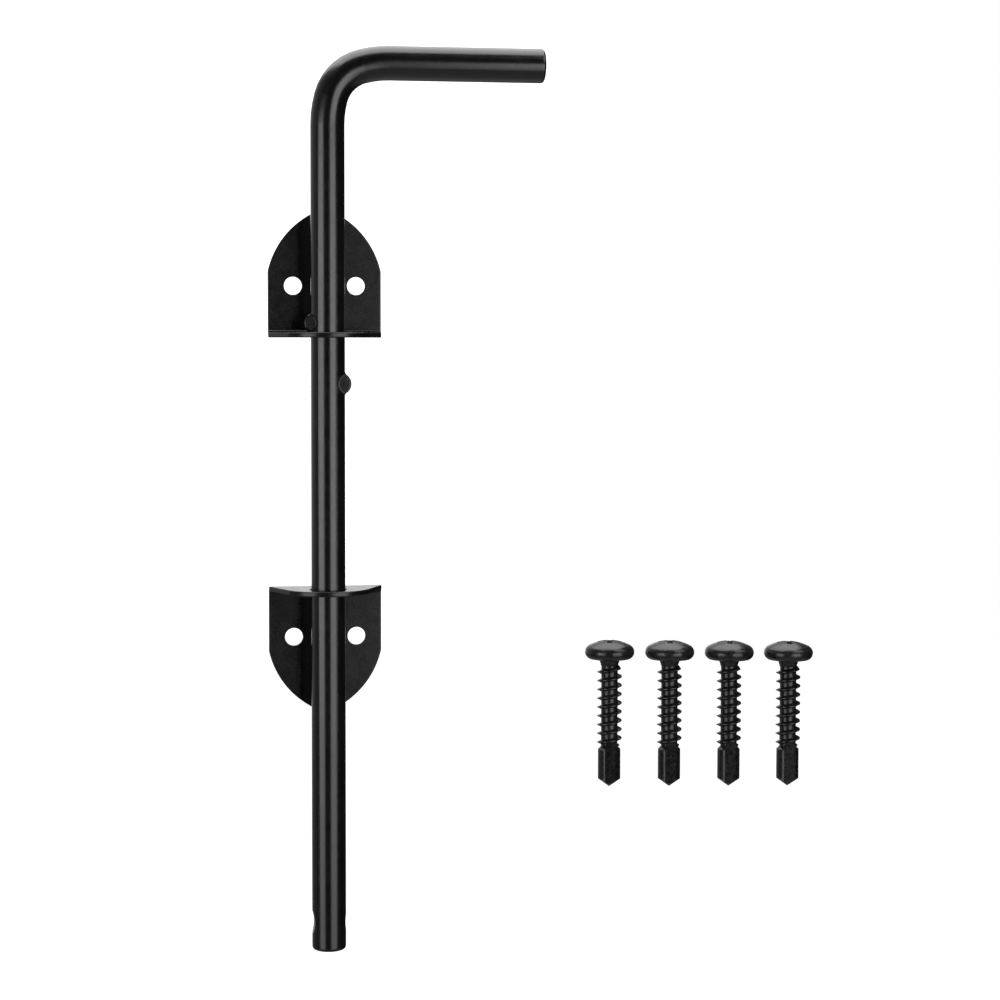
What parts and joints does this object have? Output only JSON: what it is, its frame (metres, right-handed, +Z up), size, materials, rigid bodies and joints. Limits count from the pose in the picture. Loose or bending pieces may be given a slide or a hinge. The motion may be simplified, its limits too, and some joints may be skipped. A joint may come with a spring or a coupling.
{
  "type": "cane bolt",
  "caption": "Drop bolt for a gate: a bent round steel rod with stop ears slides in pointed, screw-on guide brackets; pan head drill screws lie beside it.",
  "frame": {"origin": "midway between the upper bracket's two screw holes, on the bracket's back face (the gate's face)", "axes": "+Z up along the rod, -Y out of the gate towards the user, +X along the row of screw holes, the way the handle points at rest"},
  "size_m": [0.2147, 0.0265, 0.3443],
  "materials": {
    "rod_coating": "satin black coating on steel bar",
    "bracket_coating": "satin black coating on pressed steel strip",
    "screw_oxide": "black phosphate and oil on hardened steel"
  },
  "bodies": {
    "gate_side": {"upper_bracket": "bracket_coating", "lower_bracket": "bracket_coating", "screw_1": "screw_oxide", "screw_2": "screw_oxide", "screw_3": "screw_oxide", "screw_4": "screw_oxide"},
    "rod": {"drop_rod": "rod_coating"}
  },
  "joints": [
    {"name": "rod_lift", "type": "slide", "parent": "gate_side", "child": "rod", "axis": [0, 0, 1], "range_m": [0, 0.122]}
  ]
}
